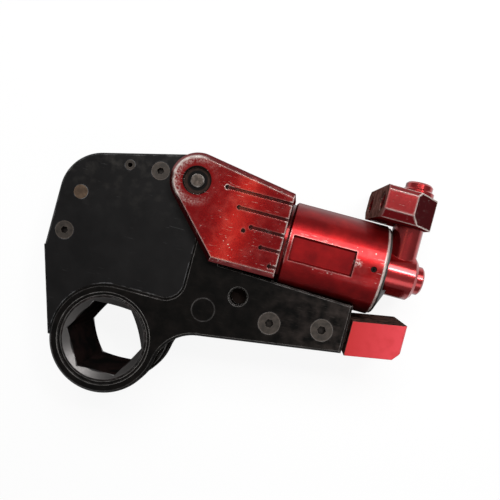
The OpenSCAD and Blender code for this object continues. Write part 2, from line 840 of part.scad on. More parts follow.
// One-piece power head body: clevis ears and cylinder barrel
module cylinder_body() {
    color("#a3141c") difference() {
        union() {
            ear_block();
            bar(ear_end - cut, ear_end + 2 * neck_len, barrel_r - neck_depth);
            bar(ear_end + neck_len, barrel_end, barrel_r, neck_bevel, barrel_bevel);
        }
        translate([0, 0, -slot_z]) cube([clevis_x, pin_y + 2 * ear_r, 2 * slot_z]);
        upright(link_pin_at, pin_r + run_gap, -ear_z - cut, ear_z + cut);
        ear_grooves();
        barrel_pocket();
        bar(clevis_x - cut, clevis_x + wiper_len, wiper_r);
        bar(clevis_x, gland_x + cut, rod_r + face_gap);
        bar(gland_x, bore_front + cut, gland_r);
        bar(bore_front, cap_front + cut, bore_r);
        bar(cap_front, barrel_end + cut, cap_r + run_gap);
        upright([set_screw_x, axis_y], set_screw_r + run_gap, 0, barrel_r + cut);
    }
}

module rod_wiper() {
    color("#1c1c1c") ring(clevis_x, clevis_x + wiper_len, rod_r + run_gap, wiper_r);
}

module rod_seal() {
    color("#1c1c1c") ring(gland_x, gland_x + rod_seal_len, rod_r + run_gap, rod_seal_r);
}

// Bronze guide that the rod runs in, with a recess for the rod seal
module rod_gland() {
    color("#a8824a") difference() {
        ring(gland_x, bore_front, rod_r + run_gap, gland_r);
        bar(gland_x - cut, gland_x + rod_seal_len, rod_seal_r);
    }
}

module piston() {
    r = bore_r - run_gap;
    color("#8f8f8c") difference() {
        bar(piston_front, piston_rear, r, piston_bevel, piston_bevel);
        bar(piston_front - cut, piston_rear + cut, tail_r);
        bar(piston_rear - nut_t - nut_sink, piston_rear + cut, nut_pocket_r);
        ring(piston_seal_x, piston_seal_x + piston_seal_len, r - ring_depth, bore_r);
        ring(wear_ring_x, wear_ring_x + wear_ring_len, r - wear_depth, bore_r);
    }
}

module piston_seal() {
    color("#1c1c1c") ring(piston_seal_x, piston_seal_x + piston_seal_len,
        bore_r - run_gap - ring_depth, bore_r - run_gap);
}

module wear_ring() {
    color("#c8b48a") ring(wear_ring_x, wear_ring_x + wear_ring_len,
        bore_r - run_gap - wear_depth, bore_r - run_gap);
}

module piston_rod() {
    color("#c4c6c8") difference() {
        union() {
            bar(rod_face, piston_front, rod_r, 1, 0);
            bar(piston_front - cut, piston_rear - nut_sink, tail_r);
        }
        bar(rod_face - cut, rod_face + stud_len + face_gap, stud_r);
    }
}

module piston_nut() {
    color("#55555a") difference() {
        translate([piston_rear - nut_t - nut_sink, axis_y, 0]) rotate([0, 90, 0])
            cylinder(r = nut_af / 2 / cos(30), h = nut_t, $fn = 6);
        bar(piston_front, piston_rear, tail_r);
    }
}

// Rod end: an eye with an upright slot, in which the lever pin rises and falls as the lever swings
module rod_end() {
    slot_r = lever_pin_r + face_gap;
    color("#8f8f8c") difference() {
        union() {
            translate([eye_front, axis_y - eye_h, -eye_z])
                cube([rod_face - eye_front, 2 * eye_h + pin_drop, 2 * eye_z]);
            bar(rod_face - cut, rod_face + stud_len, stud_r);
        }
        upright([stroke / 2, axis_y], slot_r, -eye_z - cut, eye_z + cut);
        upright([stroke / 2, axis_y + pin_drop], slot_r, -eye_z - cut, eye_z + cut);
        translate([stroke / 2 - slot_r, axis_y, -eye_z - cut])
            cube([2 * slot_r, pin_drop, 2 * eye_z + 2 * cut]);
    }
}

// Tapered skirt of the end cap below the hub, out of the post's way
module end_cap_skirt() {
    end = stem_front + skirt_len;
    top = axis_y - post_r - skirt_gap;
    difference() {
        turned([[0, barrel_end], [skirt_r, barrel_end], [skirt_r, stem_front],
            [hub_r + skirt_wall, end], [0, end]]);
        bar(stem_front, end + cut, hub_r + skirt_gap);
        translate([barrel_end - cut, top, -barrel_r])
            cube([end - barrel_end + 2 * cut, 2 * barrel_r, 2 * barrel_r]);
    }
}

// Plug that closes the barrel, with the stem that the swivel hub turns on
module end_cap() {
    groove_x0 = cap_seal_x - cap_groove_w / 2;
    color("#2c2a29") difference() {
        union() {
            bar(cap_front, barrel_end, cap_r);
            turned([[0, barrel_end], [collar_r, barrel_end], [collar_r, barrel_end + collar_flat],
                [collar_end_r, stem_front], [0, stem_front]]);
            end_cap_skirt();
            bar(stem_front - cut, nut_front, stem_r);
            bar(nut_front - cut, nut_front + hub_nut_t - hub_nut_wall, stud_nut_r);
        }
        ring(groove_x0, groove_x0 + cap_groove_w, cap_r - 2 * cap_seal_wire, cap_r + cut);
        for (x = hub_seal_x()) ring(x - 1, x + 1, stem_r - 2 * seal_wire, stem_r + cut);
    }
}

function hub_seal_x() = [for (i = [1, 3, 5]) hub_front + hub_len * i / 6];

module end_cap_ring() {
    color("#1c1c1c") seal_ring(cap_seal_x, cap_r - cap_seal_wire, cap_seal_wire);
}

// Set screw that locks the end cap in the barrel
module end_cap_screw() {
    top = barrel_r - set_screw_sink;
    color("#3a3836") difference() {
        upright([set_screw_x, axis_y], set_screw_r, cap_r, top);
        translate([set_screw_x, axis_y, top - set_socket])
            cylinder(r = set_screw_r / 2, h = set_socket + cut, $fn = 6);
    }
}

module hub_seals() {
    color("#1c1c1c") for (x = hub_seal_x()) seal_ring(x, stem_r - seal_wire, seal_wire);
}

// Round nut that keeps the hub on its stem
module hub_nut() {
    color("#a3141c") difference() {
        bar(nut_front, nut_front + hub_nut_t, hub_nut_r, 0, hub_nut_bevel);
        bar(nut_front - cut, nut_front + hub_nut_t - hub_nut_wall, stud_nut_r);
        translate([nut_front, axis_y, 0]) rotate([0, 90, 0])
            cylinder(r = hub_nut_socket, h = hub_nut_t + cut, $fn = 6);
    }
}

// Hub that turns round the cylinder axis, with the post that carries the block
module swivel_hub() {
    color("#a3141c") difference() {
        union() {
            bar(hub_front, hub_end, hub_r, hub_bevel, hub_bevel);
            on_post() rotate_extrude()
                polygon([[0, axis_y], [post_r, axis_y], [post_r, spigot_low], [spigot_r, spigot_low],
                    [spigot_r, cap_low], [cap_stud_r, cap_low], [cap_stud_r, cap_stud_top],
                    [0, cap_stud_top]]);
        }
        bar(hub_front - cut, hub_end + cut, stem_r + run_gap);
        for (y = block_seal_y())
            on_post() translate([0, 0, y - 1]) rotate_extrude()
                polygon([[spigot_r - 2 * seal_wire, 0], [spigot_r + cut, 0], [spigot_r + cut, 2],
                    [spigot_r - 2 * seal_wire, 2]]);
    }
}

function block_seal_y() = [for (i = [1, 3, 5]) block_low + block_h * i / 6];

module block_seals() {
    color("#1c1c1c") for (y = block_seal_y())
        on_post() translate([0, 0, y]) rotate_extrude()
            translate([spigot_r - seal_wire, 0]) circle(seal_wire, $fn = 32);
}

// Cap screwed on the post to keep the block there
module swivel_cap() {
    crown = 1.2;
    top = cap_low + swivel_cap_h;
    color("#a3141c") difference() {
        on_post() rotate_extrude()
            polygon([[0, cap_low], [swivel_cap_r, cap_low], [swivel_cap_r, cap_low + swivel_cap_step],
                [swivel_crown_r, cap_low + swivel_cap_step + crown], [swivel_crown_r, top - crown],
                [swivel_crown_r - crown, top], [0, top]]);
        on_post() translate([0, 0, cap_low - cut])
            cylinder(r = cap_stud_r, h = cap_stud_top - cap_low + cut);
    }
}

// Moves a shape round the Y axis onto the post, turned as the block rests
module on_block() {
    translate([post_x, 0, 0]) rotate([0, block_turn, 0]) children();
}

// Block with the two hose ports, which turns on the post
module swivel_block() {
    color("#a3141c") on_block() difference() {
        translate([0, block_top, 0]) rotate([90, 0, 0]) linear_extrude(block_h)
            polygon([[-port_reach, -block_z], [-facet_start, -block_z], [rear_reach, -facet_end_z],
                [rear_reach, facet_end_z], [-facet_start, block_z], [-port_reach, block_z]]);
        both_sides() {
            edge_bevel([-port_reach, block_low], [rear_reach, block_low], block_bevel, block_z, cut);
            edge_bevel([rear_reach, block_top], [-port_reach, block_top], block_top_bevel, block_z, cut);
        }
        rotate([-90, 0, 0]) translate([0, 0, block_low - cut])
            cylinder(r = spigot_r + run_gap, h = block_h + 2 * cut);
        for (side = [-1, 1]) translate([-port_reach, port_y, side * port_z]) rotate([0, 90, 0]) {
            translate([0, 0, -cut]) cylinder(r = port_r, h = port_depth + cut);
            translate([0, 0, -cut])
                cylinder(r1 = port_r + port_lip + cut, r2 = port_r, h = port_lip + cut);
        }
        plug_shapes(run_gap);
    }
}

// Plugs in the ends of the oil galleries, under the block
module plug_shapes(grow) {
    for (i = [1 : 3])
        translate([i * plug_pitch - port_reach, block_low, plug_z]) rotate([-90, 0, 0])
            translate([0, 0, -plug_proud]) cylinder(r = plug_r + grow, h = plug_h + plug_proud);
}

module gallery_plugs() {
    color("#8a8782") on_block() plug_shapes(0);
}

// Link pin: a hollow quick-release pin with a spindle down its middle
module link_pin() {
    color("#3c3b39") difference() {
        upright(link_pin_at, pin_r, -ear_z + pin_mouth, ear_z - pin_mouth);
        upright(link_pin_at, spindle_r, -ear_z, ear_z);
    }
}

module pin_spindle() {
    color("#8e8c86") translate([pin_x, pin_y, 0]) both_sides() rotate_extrude()
        polygon([[0, 0], [spindle_r, 0], [spindle_r, spindle_end - spindle_bevel],
            [spindle_r - spindle_bevel, spindle_end], [0, spindle_end]]);
}

side_plate_front();
side_plate_back();
shroud_front();
shroud_back();
shroud_rim();
shroud_screws();
shroud_rivet();
shroud_roll_pins();
reaction_pad();
arm_screws();
holding_pawl_pin();
holding_pawl();
holding_pawl_spring();
hex_ratchet();
lever_plate_front();
lever_plate_back();
lever_rivets();
lever_pin();
pawl_housing();
drive_pawl();
pawl_springs();
cylinder_body();
rod_wiper();
rod_seal();
rod_gland();
piston();
piston_seal();
wear_ring();
piston_rod();
piston_nut();
rod_end();
end_cap();
end_cap_ring();
end_cap_screw();
hub_seals();
hub_nut();
swivel_hub();
block_seals();
swivel_cap();
swivel_block();
gallery_plugs();
link_pin();
pin_spindle();
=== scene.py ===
"""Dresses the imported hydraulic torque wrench: worn finishes, a pale floor, studio light and a camera.

Lengths are in millimetres of the CAD frame, and MM turns them into metres. Colours are linear.
"""
import math

import bpy
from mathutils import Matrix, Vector

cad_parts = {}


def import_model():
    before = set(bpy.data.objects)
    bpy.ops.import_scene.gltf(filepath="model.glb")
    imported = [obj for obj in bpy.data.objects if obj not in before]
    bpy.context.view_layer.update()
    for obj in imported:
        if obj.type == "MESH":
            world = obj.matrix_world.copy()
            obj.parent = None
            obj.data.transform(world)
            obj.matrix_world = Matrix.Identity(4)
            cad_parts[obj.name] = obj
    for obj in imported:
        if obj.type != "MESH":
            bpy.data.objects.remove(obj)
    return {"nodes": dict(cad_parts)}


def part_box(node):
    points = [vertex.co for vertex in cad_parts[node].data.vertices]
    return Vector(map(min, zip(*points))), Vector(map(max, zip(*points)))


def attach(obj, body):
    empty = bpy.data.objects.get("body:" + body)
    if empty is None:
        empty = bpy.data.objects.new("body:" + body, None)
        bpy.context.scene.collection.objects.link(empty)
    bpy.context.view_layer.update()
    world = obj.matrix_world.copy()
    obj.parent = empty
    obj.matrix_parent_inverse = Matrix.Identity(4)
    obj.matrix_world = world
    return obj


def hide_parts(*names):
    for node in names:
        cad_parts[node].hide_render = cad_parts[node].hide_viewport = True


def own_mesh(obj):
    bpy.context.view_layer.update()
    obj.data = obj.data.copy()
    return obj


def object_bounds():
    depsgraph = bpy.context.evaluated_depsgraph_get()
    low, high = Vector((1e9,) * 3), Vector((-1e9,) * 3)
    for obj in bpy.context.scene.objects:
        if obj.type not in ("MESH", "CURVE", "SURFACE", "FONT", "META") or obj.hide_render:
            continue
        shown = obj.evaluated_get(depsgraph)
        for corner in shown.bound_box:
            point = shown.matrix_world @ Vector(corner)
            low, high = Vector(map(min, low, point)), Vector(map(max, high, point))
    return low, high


MM = 0.001
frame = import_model()
cad_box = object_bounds()
nodes = frame["nodes"]


def corners(node):
    """Lowest and highest corner of a CAD node."""
    low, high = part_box(node)
    return low / MM, high / MM


def middle(node):
    """Where the middle of a CAD node lies, seen along Z."""
    low, high = corners(node)
    return ((low + high) / 2.0).xy


# Camera: straight above the wrench, turned with the photograph's tilt
CAMERA_AT = (98.5, 84.8, 305.0)
CAMERA_TURN = 15.0
CAMERA_LENS = 33.9
CAMERA_SHIFT = (-0.094, -0.010)
CAMERA_NEAR = 10.0

# The floor, and the room's light at two heights of a unit sphere
FLOOR_AT = (90.0, 60.0)
FLOOR_SIZE = 24000.0
FLOOR_GAP = 0.2
FLOOR_GLOW = 0.9
HORIZON_Z = 0.15
HORIZON_LIGHT = 0.25
OVERHEAD_Z = 0.95
OVERHEAD_LIGHT = 0.41

# Places on the wrench that no node's box gives
HEXAGON = (0.0, 0.0)
LEAD_IN_RADIUS = 24.5
LEAD_IN_Z = 18.1
EAR_END_X = 90.0
POCKET_END_X = 134.5
POCKET_CHIP = (135.8, 83.7)
PORT_FACE_X = 141.0
PAD_GAP = 2.0

# Places on the wrench that come from the frame
FLOOR_Z = cad_box[0][2] / MM
LINK_PIN = middle("link_pin")
SPINDLE_RADIUS = corners("pin_spindle")[1].x - LINK_PIN.x
SET_SCREW = middle("end_cap_screw")
HOLDING_PIN = middle("holding_pawl_pin")
EAR_FACE_Z = corners("cylinder_body")[1].z
BARREL_END_X = corners("cylinder_body")[1].x
PAD_START_X = corners("side_plate_front")[1].x + PAD_GAP

# Bands along an axis or round a centre, in which a mask rises, stays at 1 and falls again
GROOVES_X = (50.0, 53.0, EAR_END_X - 2.5, EAR_END_X - 1.5)
GROOVES_Y = (66.5, 67.5, 109.0, 110.0)
POCKET_X = (92.0, 94.0, 136.0, 138.0)
POCKET_Y = (70.0, 72.0, 93.0, 95.0)
EAR_FUZZ = (9.5, 12.5, 13.2, 16.0)
EAR_RIM = (12.6, 13.4, 14.4, 15.2)
NOSE_RIM = (30.5, 31.2, 33.6, 34.2)

# Slopes along an axis or away from a centre, on which a mask goes from 0 to 1
EAR_FUZZ_X = (44.0, 22.0)
EAR_RIM_X = (38.0, 30.0)
EAR_RIM_Y = (93.0, 96.5)
PIN_HOLE = (8.8, 8.4)
ROUND_PIN_HOLE = (9.6, 10.4)
ROUND_SET_SCREW = (3.0, 4.0)
ROUND_HOLDING_PIN = (8.0, 9.0)
PIN_BORDER = (5.6, 6.4)
ARM_REAR_X = (85.0, 140.0)
SHROUD_TOP_Y = (70.0, 105.0)

# Red anodising, what shows through or lies on it, and painted light and shade on it
RED_DARK = (0.25, 0.005, 0.007)
RED_LIGHT = (0.41, 0.012, 0.012)
# Painted shade for sideways faces and the ear bevels; also the colour of the barrel's smudges
RED_SHADE_AND_SMUDGE = (0.10, 0.003, 0.004)
RED_HAZE = (0.54, 0.075, 0.070)
# Swivel block: painted light on its front, painted shade below and on its facet, and a browner port side
BLOCK_FRONT_LIT = (0.55, 0.060, 0.062)
BLOCK_BELOW_SHADE = (0.13, 0.007, 0.009)
BLOCK_FACET_SHADE = (0.040, 0.004, 0.005)
PORT_SIDE_DARK = (0.060, 0.028, 0.022)
PORT_SIDE_LIGHT = (0.14, 0.062, 0.052)
BARE_ALLOY = (0.62, 0.54, 0.50)
# Painted shade, put in recesses and between parts
PAINTED_SHADE = (0.010, 0.007, 0.006)

# Blackened steel of the link, its shroud, the hexagon and the link pin
BLACK_CLEAN = (0.0020, 0.0018, 0.0016)
BLACK_SCUFFED = (0.030, 0.0230, 0.0205)
BLACK_RUBBED = (0.030, 0.026, 0.023)
BLACK_WORN = (0.19, 0.18, 0.172)
SHROUD_DARK = (0.0030, 0.0027, 0.0028)
SHROUD_LIGHT = (0.0060, 0.0055, 0.0056)
SHROUD_DUST = (0.022, 0.020, 0.018)
SHROUD_LINES = (0.05, 0.05, 0.05)
SHROUD_WORN = (0.14, 0.14, 0.145)
BORE_DARK = (0.0036, 0.0034, 0.0032)
BORE_STAINED = (0.0105, 0.0062, 0.0058)
LEAD_IN_BRIGHT = (0.115, 0.109, 0.107)
HEXAGON_WORN = (0.16, 0.15, 0.145)
PIN_BLACK = (0.0018, 0.0014, 0.0012)
PIN_WORN = (0.028, 0.015, 0.011)
PIN_EDGE = (0.06, 0.05, 0.045)

# Paint of the pad, the pin's spindle with its painted rim highlight, rubber, resin, the lamps and the
# floor
PAINT_DEEP = (0.43, 0.003, 0.005)
PAINT_FADED = (0.61, 0.031, 0.045)
PAINT_CHIP = (0.07, 0.05, 0.045)
SCRAPED_DARK = (0.020, 0.013, 0.011)
SCRAPED_LIGHT = (0.085, 0.042, 0.034)
SPINDLE_DARK = (0.045, 0.035, 0.028)
SPINDLE_LIGHT = (0.115, 0.092, 0.077)
SPINDLE_RIM_HIGHLIGHT = (0.36, 0.33, 0.31)
RUBBER_BLACK = (0.012, 0.012, 0.012)
RESIN_DARK = (0.40, 0.28, 0.13)
RESIN_LIGHT = (0.52, 0.40, 0.22)
WHITE = (1.0, 1.0, 1.0)
WARM = (1.0, 0.78, 0.45)
FLOOR_WHITE = (0.9, 0.9, 0.9)


class Finish:
    """Builds one material's node tree with short calls. Sockets and numbers can be given alike."""

    EDGE_SAMPLES = 6
    SHADE_SAMPLES = 6
    SOFT_SAMPLES = 4
    SOFT_RADIUS = 0.25
    GRAIN_DEPTH = 0.05
    FINE_DETAIL = 2.0

    def __init__(self, name, metallic=0.0, specular=0.5):
        self.material = bpy.data.materials.new(name)
        self.material.use_nodes = True
        self.tree = self.material.node_tree
        self.shader = self.tree.nodes["Principled BSDF"]
        self.specular = specular
        self.set("Metallic", metallic)
        self.set("Specular IOR Level", specular)
        here = self.add("ShaderNodeTexCoord")
        self.place = here.outputs["Object"]
        self.at = self.add("ShaderNodeSeparateXYZ", {"Vector": self.place}).outputs
        self.facing = self.add("ShaderNodeSeparateXYZ", {"Vector": here.outputs["Normal"]}).outputs

    def add(self, kind, inputs=None, **settings):
        """A new node with its settings and inputs."""
        made = self.tree.nodes.new(kind)
        for key, value in settings.items():
            setattr(made, key, value)
        for key, value in (inputs or {}).items():
            self.feed(made.inputs[key], value)
        return made

    def feed(self, socket, value):
        """Links a socket to another one, or gives it a plain number or colour."""
        if isinstance(value, bpy.types.NodeSocket):
            self.tree.links.new(value, socket)
        elif socket.type == "RGBA":
            socket.default_value = (*value, 1.0)
        else:
            socket.default_value = value

    def set(self, name, value):
        """Feeds a socket of the shader."""
        self.feed(self.shader.inputs[name], value)

    def maths(self, operation, a, b=0.0):
        """The result of one operation, kept between 0 and 1."""
        return self.add("ShaderNodeMath", {0: a, 1: b}, operation=operation, use_clamp=True).outputs[0]

    def times(self, first, *others):
        """The product of masks."""
        for other in others:
            first = self.maths("MULTIPLY", first, other)
        return first

    def either(self, first, *others):
        """The largest of masks."""
        for other in others:
            first = self.maths("MAXIMUM", first, other)
        return first

    def ramp(self, value, low, high):
        """0 at low and 1 at high, whichever is the larger."""
        limits = {"Value": value, "From Min": low, "From Max": high}
        return self.add("ShaderNodeMapRange", limits, clamp=True).outputs["Result"]

    def blend(self, factor, a, b):
        """A plain number between a and b."""
        limits = {"Value": factor, "To Min": a, "To Max": b}
        return self.add("ShaderNodeMapRange", limits, clamp=True).outputs["Result"]

    def along(self, axis, low, high):
        """0 at one place along an axis and 1 at the other."""
        return self.ramp(self.at[axis], low * MM, high * MM)

    def between(self, axis, start, full, fade, end):
        """1 from full to fade along an axis, and 0 before start and after end."""
        return self.times(self.along(axis, start, full), self.along(axis, end, fade))

    def outward(self, low, high):
        """0 at one level and 1 at the other, on both sides of the middle plane."""
        return self.ramp(self.maths("ABSOLUTE", self.at["Z"]), low * MM, high * MM)

    def from_axis(self, centre, low, high):
        """0 at one distance from an upright axis and 1 at the other."""
        flat = self.add("ShaderNodeCombineXYZ", {"X": self.at["X"], "Y": self.at["Y"]})
        ends = {0: flat.outputs["Vector"], 1: (centre[0] * MM, centre[1] * MM, 0.0)}
        away = self.add("ShaderNodeVectorMath", ends, operation="DISTANCE").outputs["Value"]
        return self.ramp(away, low * MM, high * MM)

    def ring(self, centre, start, full, fade, end):
        """1 from full to fade away from an upright axis, and 0 nearer than start and past end."""
        return self.times(self.from_axis(centre, start, full), self.from_axis(centre, end, fade))

    def looking(self, axis, low, high):
        """0 where the normal's share along an axis is low and 1 where it is high."""
        return self.ramp(self.facing[axis], low, high)

    def level(self, low, high):
        """0 where the normal's share along Z, up or down alike, is low and 1 where it is high."""
        return self.ramp(self.maths("ABSOLUTE", self.facing["Z"]), low, high)

    def walls(self):
        """1 on walls that run along Z and 0 on faces that look up or down."""
        return self.level(0.5, 0.2)

    def stretched(self, turn, stretch):
        """The place, turned about Z by so many degrees and stretched along the new X."""
        made = self.add("ShaderNodeMapping", {
            "Vector": self.place,
            "Rotation": (0.0, 0.0, math.radians(turn)),
            "Scale": (1.0 / stretch, 1.0, 1.0),
        })
        return made.outputs["Vector"]

    def noise(self, size, detail=3.0, vector=None):
        """Noise with grains about so many millimetres across."""
        made = self.add("ShaderNodeTexNoise", {
            "Vector": vector or self.place,
            "Scale": 1.0 / (size * MM),
            "Detail": detail,
        })
        return made.outputs["Fac"]

    def patches(self, size, low, high, detail=3.0):
        """Mask of patches about so many millimetres across, fewer where low and high are higher."""
        return self.ramp(self.noise(size, detail), low, high)

    def scratches(self, turn, size, stretch, low, high):
        """Mask of thin lines that are turned by so many degrees."""
        return self.ramp(self.noise(size, self.FINE_DETAIL, self.stretched(turn, stretch)), low, high)

    def shade(self, reach, local=True):
        """Ambient light: about 1 in the open and less in corners, of this piece alone or of all."""
        made = self.add("ShaderNodeAmbientOcclusion", {"Distance": reach * MM})
        made.samples = self.SHADE_SAMPLES
        made.only_local = local
        return made.outputs["AO"]

    def edge(self, radius, low=0.012, high=0.09):
        """1 along the outer edges of the shape, 0 on its faces and in its inner corners."""
        worn = self.add("ShaderNodeBevel", {"Radius": radius * MM}, samples=self.EDGE_SAMPLES)
        flat = self.add("ShaderNodeNewGeometry")
        normals = {0: worn.outputs["Normal"], 1: flat.outputs["Normal"]}
        same = self.add("ShaderNodeVectorMath", normals, operation="DOT_PRODUCT").outputs["Value"]
        turned = self.ramp(same, 1.0 - low, 1.0 - high)
        outer = self.ramp(self.shade(radius * 1.5), 0.62, 0.85)
        return self.times(turned, outer)

    def shadowed(self, reach):
        """Mask for painted shade: 1 where little light comes in past this and other pieces."""
        return self.ramp(self.shade(reach, False), 0.6, 0.1)

    def mix(self, factor, a, b):
        """A colour between a and b."""
        made = self.add("ShaderNodeMix", data_type="RGBA")
        sockets = {socket.identifier: socket for socket in made.inputs}
        self.feed(sockets["Factor_Float"], factor)
        self.feed(sockets["A_Color"], a)
        self.feed(sockets["B_Color"], b)
        return next(socket for socket in made.outputs if socket.identifier == "Result_Color")

    def colour(self, value):
        """The colour of the surface."""
        self.set("Base Color", value)

    def roughness(self, size, low, high):
        """Roughness that changes from low to high in grains of so many millimetres."""
        self.set("Roughness", self.blend(self.noise(size), low, high))

    def matt(self, mask):
        """Takes the gloss away where the mask says."""
        self.set("Specular IOR Level", self.blend(mask, self.specular, 0.0))

    def grain(self, size, strength):
        """Fine relief with grains of so many millimetres, over edges that are slightly softened."""
        soft = self.add("ShaderNodeBevel", {"Radius": self.SOFT_RADIUS * MM}, samples=self.SOFT_SAMPLES)
        made = self.add("ShaderNodeBump", {
            "Height": self.noise(size, self.FINE_DETAIL),
            "Strength": strength,
            "Distance": self.GRAIN_DEPTH * MM,
            "Normal": soft.outputs["Normal"],
        })
        self.set("Normal", made.outputs["Normal"])


def dress(finish, *names):
    """Gives CAD nodes a finish."""
    for name in names:
        for slot in nodes[name].material_slots:
            slot.material = finish.material


def anodised(name, shade_reach, coat, coat_roughness, side_range):
    """Red anodising with cloudy colour and brushed streaks, painted shade on sideways faces and painted
    shade where little light comes in.
    """
    f = Finish(name)
    side = f.level(*side_range)
    f.set("Coat Weight", f.blend(side, coat, 0.0))
    f.set("Coat Roughness", coat_roughness)
    streaks = f.scratches(turn=90.0, size=0.45, stretch=24.0, low=0.3, high=0.7)
    cloud = f.times(f.patches(15.0, 0.3, 0.7), f.blend(streaks, 0.7, 1.0))
    red = f.mix(cloud, RED_DARK, RED_LIGHT)
    # Painted shade on faces that turn sideways
    red = f.mix(side, red, RED_SHADE_AND_SMUDGE)
    # Painted shade where little light comes in
    red = f.mix(f.shadowed(shade_reach), red, PAINTED_SHADE)
    f.grain(0.5, 0.08)
    return f, red


def bare_where(f, red, bare, dull):
    """Red with bare alloy where one mask says, and without gloss where the other does."""
    f.colour(f.mix(bare, red, BARE_ALLOY))
    f.set("Metallic", f.times(f.blend(bare, 0.9, 0.35), f.blend(dull, 1.0, 0.0)))
    f.matt(dull)


def red_body():
    """The power head: rubbed and scratched ears, and a duller barrel with a pocket."""
    f, red = anodised("red_anodised", shade_reach=12.0, coat=0.12, coat_roughness=0.07,
                      side_range=(0.6, 0.3))
    face = f.outward(EAR_FACE_Z - 2.2, EAR_FACE_Z - 1.4)
    barrel = f.along("X", EAR_END_X, EAR_END_X + 3.0)
    shaded_bevels = f.times(f.level(0.86, 0.70), f.along("X", EAR_END_X + 1.0, EAR_END_X))
    haze = f.times(f.patches(7.0, 0.48, 0.72, detail=5.0), face, 0.4)
    smudges = f.times(f.blend(f.patches(8.0, 0.35, 0.68, detail=5.0), 0.15, 0.6), barrel)
    # Painted shade on the ear bevels
    red = f.mix(shaded_bevels, red, RED_SHADE_AND_SMUDGE)
    red = f.mix(haze, red, RED_HAZE)
    red = f.mix(smudges, red, RED_SHADE_AND_SMUDGE)

    # Bare alloy: edges, round the pin, specks, scratches, the barrel's end and a chip beside the pocket
    patchy = f.blend(f.patches(3.0, 0.36, 0.6, detail=4.0), 0.6, 1.0)
    grooves = f.times(f.between("X", *GROOVES_X), f.between("Y", *GROOVES_Y))
    pocket = f.times(f.between("X", *POCKET_X), f.between("Y", *POCKET_Y))
    quiet = f.times(f.blend(grooves, 1.0, 0.15), f.blend(pocket, 1.0, 0.25),
                    f.from_axis(LINK_PIN, *ROUND_PIN_HOLE), f.from_axis(SET_SCREW, *ROUND_SET_SCREW))
    rear = f.along("X", BARREL_END_X - 14.0, BARREL_END_X - 6.0)
    edges = f.times(f.edge(1.6), patchy, f.either(face, rear), quiet)
    rim = f.times(f.ring(LINK_PIN, *EAR_RIM), f.along("X", *EAR_RIM_X), f.along("Y", *EAR_RIM_Y),
                  patchy, face)
    fuzz = f.times(f.ring(LINK_PIN, *EAR_FUZZ), f.along("X", *EAR_FUZZ_X), face,
                   f.patches(1.2, 0.38, 0.62, detail=6.0), 0.8)
    specks = f.times(f.patches(1.3, 0.68, 0.72, detail=4.0), f.patches(12.0, 0.45, 0.6), face)
    lines = f.times(f.scratches(turn=35.0, size=0.5, stretch=14.0, low=0.66, high=0.72),
                    f.patches(11.0, 0.45, 0.6), face, 0.7)
    end_ring = f.times(f.along("X", BARREL_END_X - 1.9, BARREL_END_X - 1.5), f.looking("X", 0.95, 0.8),
                       patchy)
    chip = f.times(f.from_axis(POCKET_CHIP, 3.0, 0.8), f.looking("Z", 0.3, 0.6),
                   f.patches(1.1, 0.44, 0.56, detail=5.0), 0.8)
    bare = f.either(edges, rim, fuzz, specks, lines, end_ring, chip)

    # Painted shade in the recesses, less of it in most of the pocket, and in the pin's hole
    pocket_end = f.along("X", POCKET_END_X - 3.0, POCKET_END_X - 1.0)
    shaded_hollows = f.times(f.ramp(f.shade(2.5), 0.75, 0.5), f.either(f.blend(pocket, 1.0, 0.35), pocket_end))
    red = f.mix(f.either(shaded_hollows, f.from_axis(LINK_PIN, *PIN_HOLE)), red, PAINTED_SHADE)
    below = f.times(f.looking("Z", -0.05, -0.4), 0.6)
    f.set("Roughness", f.blend(barrel, 0.14, 0.36))
    bare_where(f, red, bare, f.either(below, f.walls()))
    return f


def red_block():
    """The swivel block: painted light on its front, a browner and darker port side, painted shade below
    and on its facet, and worn edges.
    """
    f, red = anodised("red_swivel_block", shade_reach=10.0, coat=0.1, coat_roughness=0.07,
                      side_range=(0.9, 0.6))
    front = f.times(f.looking("Z", 0.7, 0.95), 0.6)
    below = f.looking("Y", -0.25, -0.5)
    ported = f.looking("X", -0.25, -0.5)
    shaded_facet = f.looking("X", 0.25, 0.5)
    port_side_colour = f.mix(f.patches(5.0, 0.35, 0.65), PORT_SIDE_DARK, PORT_SIDE_LIGHT)
    # Painted light on the face that looks up
    red = f.mix(front, red, BLOCK_FRONT_LIT)
    # Painted shade on faces that look down along Y
    red = f.mix(below, red, BLOCK_BELOW_SHADE)
    # Browner and darker on the faces turned towards -X, where the ports are
    red = f.mix(ported, red, port_side_colour)
    # Painted shade on the facet turned towards +X
    red = f.mix(shaded_facet, red, BLOCK_FACET_SHADE)
    edges = f.times(f.edge(1.8, 0.008, 0.06), f.blend(f.patches(4.0, 0.35, 0.6), 0.8, 1.0),
                    f.along("X", PORT_FACE_X + 1.0, PORT_FACE_X + 3.0))
    lines = f.times(f.scratches(turn=20.0, size=0.6, stretch=10.0, low=0.68, high=0.72),
                    f.patches(9.0, 0.48, 0.56))
    f.roughness(3.0, 0.12, 0.18)
    bare_where(f, red, f.either(edges, lines), f.either(ported, below, shaded_facet))
    return f


def red_hub():
    """The swivel's hub, cap and nut: glossier, with lightly rubbed edges."""
    f, red = anodised("red_swivel_hub", shade_reach=2.5, coat=0.75, coat_roughness=0.16,
                      side_range=(0.5, 0.1))
    edges = f.times(f.edge(0.5, 0.03, 0.16), f.patches(3.0, 0.45, 0.65), 0.5)
    f.roughness(3.0, 0.2, 0.28)
    bare_where(f, red, edges, f.times(f.level(0.85, 0.35), 0.6))
    return f


